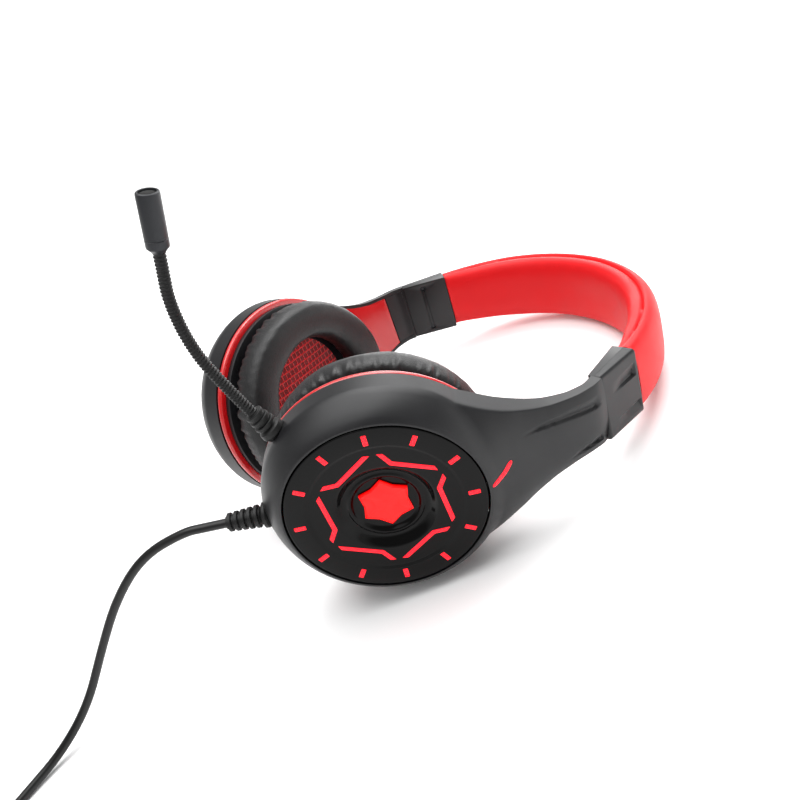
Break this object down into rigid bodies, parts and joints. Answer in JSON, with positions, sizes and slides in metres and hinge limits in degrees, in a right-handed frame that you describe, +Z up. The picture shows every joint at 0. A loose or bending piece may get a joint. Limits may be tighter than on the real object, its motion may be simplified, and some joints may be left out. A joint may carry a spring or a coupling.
{
  "type": "gaming headset",
  "caption": "Over-ear gaming headset with a padded red headband, lit round ear cups, a bendable microphone boom and a USB cable.",
  "frame": {"origin": "middle of the headset's footprint on the table, with the cable and plug left out, at table height", "axes": "+Y along the table from the ear cups to the crown of the headband, +X towards the wearer's left cup (the one with the microphone), +Z up, the way that the wearer would face"},
  "size_m": [0.1884, 0.4396, 0.1868],
  "materials": {
    "black_shell": "satin moulded black plastic with a fine grain",
    "gloss_black": "polished piano-black plastic",
    "red_gloss": "polished deep red plastic",
    "lit_red": "translucent red light guide, lit from behind",
    "steel": "cold-rolled spring steel",
    "screws": "black-oxide steel screws",
    "black_leatherette": "soft black protein leatherette over foam",
    "red_cloth": "thin red mesh cloth",
    "speaker_plastic": "moulded speaker frame",
    "magnet": "plated magnet and yoke",
    "copper_wire": "wound enamelled copper wire",
    "diaphragm": "thin formed film",
    "circuit_board": "green glass-fibre board",
    "red_headband": "soft matte red skin over foam",
    "black_rubber": "matte flexible rubber",
    "mic_metal": "dark grey painted metal tube",
    "mic_foam": "black acoustic foam",
    "black_cable": "smooth round cable jacket",
    "usb_black": "moulded black plug grip",
    "plated_steel": "nickel-plated steel shell"
  },
  "bodies": {
    "headband": {"headband_pad": "red_headband", "spring_strip": "steel", "left_cap_outer": "black_shell", "left_cap_inner": "black_shell", "left_cap_screws": "screws", "right_cap_outer": "black_shell", "right_cap_inner": "black_shell", "right_cap_screws": "screws"},
    "left_cup": {"left_outer_shell": "black_shell", "left_slash_lens": "lit_red", "left_slider_tongue": "steel", "left_red_ring": "red_gloss", "left_arm_cover": "black_shell", "left_speaker_baffle": "black_shell", "left_baffle_screws": "screws", "left_ear_cushion": "black_leatherette", "left_speaker_cloth": "red_cloth", "left_speaker_frame": "speaker_plastic", "left_speaker_magnet": "magnet", "left_voice_coil": "copper_wire", "left_speaker_cone": "diaphragm", "left_light_guide": "lit_red", "left_star_lens": "lit_red", "left_face_plate": "gloss_black", "left_led_board": "circuit_board", "mic_boot": "black_rubber", "cable_boot": "black_rubber", "cable_lead": "black_cable", "cable_coil": "black_cable", "cable_tie": "black_rubber", "cable_tail": "black_cable", "usb_grip": "usb_black", "usb_shell": "plated_steel"},
    "right_cup": {"right_outer_shell": "black_shell", "right_slash_lens": "lit_red", "right_slider_tongue": "steel", "right_red_ring": "red_gloss", "right_arm_cover": "black_shell", "right_speaker_baffle": "black_shell", "right_baffle_screws": "screws", "right_ear_cushion": "black_leatherette", "right_speaker_cloth": "red_cloth", "right_speaker_frame": "speaker_plastic", "right_speaker_magnet": "magnet", "right_voice_coil": "copper_wire", "right_speaker_cone": "diaphragm", "right_light_guide": "lit_red", "right_star_lens": "lit_red", "right_face_plate": "gloss_black", "right_led_board": "circuit_board"},
    "boom_1": {"boom_link_1": "black_rubber"},
    "boom_2": {"boom_link_2": "black_rubber"},
    "boom_3": {"boom_link_3": "black_rubber"},
    "boom_4": {"boom_link_4": "black_rubber"},
    "boom_5": {"boom_link_5": "black_rubber"},
    "mic_head": {"mic_housing": "mic_metal", "mic_capsule": "mic_foam"}
  },
  "joints": [
    {"name": "left_arm_slide", "type": "slide", "parent": "headband", "child": "left_cup", "axis": [0.3554, -0.9158, 0.1872], "range_m": [0, 0.02]},
    {"name": "right_arm_slide", "type": "slide", "parent": "headband", "child": "right_cup", "axis": [-0.3554, -0.9158, 0.1872], "range_m": [0, 0.02]},
    {"name": "boom_bend_1", "type": "hinge", "parent": "left_cup", "child": "boom_1", "pos_m": [0.04112, -0.07611, 0.10013], "axis": [0.4383, 0.8764, 0.1997], "range_deg": [-15, 15]},
    {"name": "boom_bend_2", "type": "hinge", "parent": "boom_1", "child": "boom_2", "pos_m": [0.04014, -0.07807, 0.11345], "axis": [0.8943, -0.4474, 0.0003], "range_deg": [-15, 15]},
    {"name": "boom_bend_3", "type": "hinge", "parent": "boom_2", "child": "boom_3", "pos_m": [0.0395, -0.07933, 0.1266], "axis": [0.4472, 0.8941, 0.0244], "range_deg": [-15, 15]},
    {"name": "boom_bend_4", "type": "hinge", "parent": "boom_3", "child": "boom_4", "pos_m": [0.03983, -0.07867, 0.13925], "axis": [0.8943, -0.4474, 0.0003], "range_deg": [-15, 15]},
    {"name": "boom_bend_5", "type": "hinge", "parent": "boom_4", "child": "boom_5", "pos_m": [0.04107, -0.07618, 0.15144], "axis": [0.4254, 0.8503, -0.31], "range_deg": [-15, 15]},
    {"name": "boom_bend_6", "type": "hinge", "parent": "boom_5", "child": "mic_head", "pos_m": [0.04322, -0.07187, 0.16265], "axis": [0.8943, -0.4474, 0.0003], "range_deg": [-15, 15]}
  ]
}
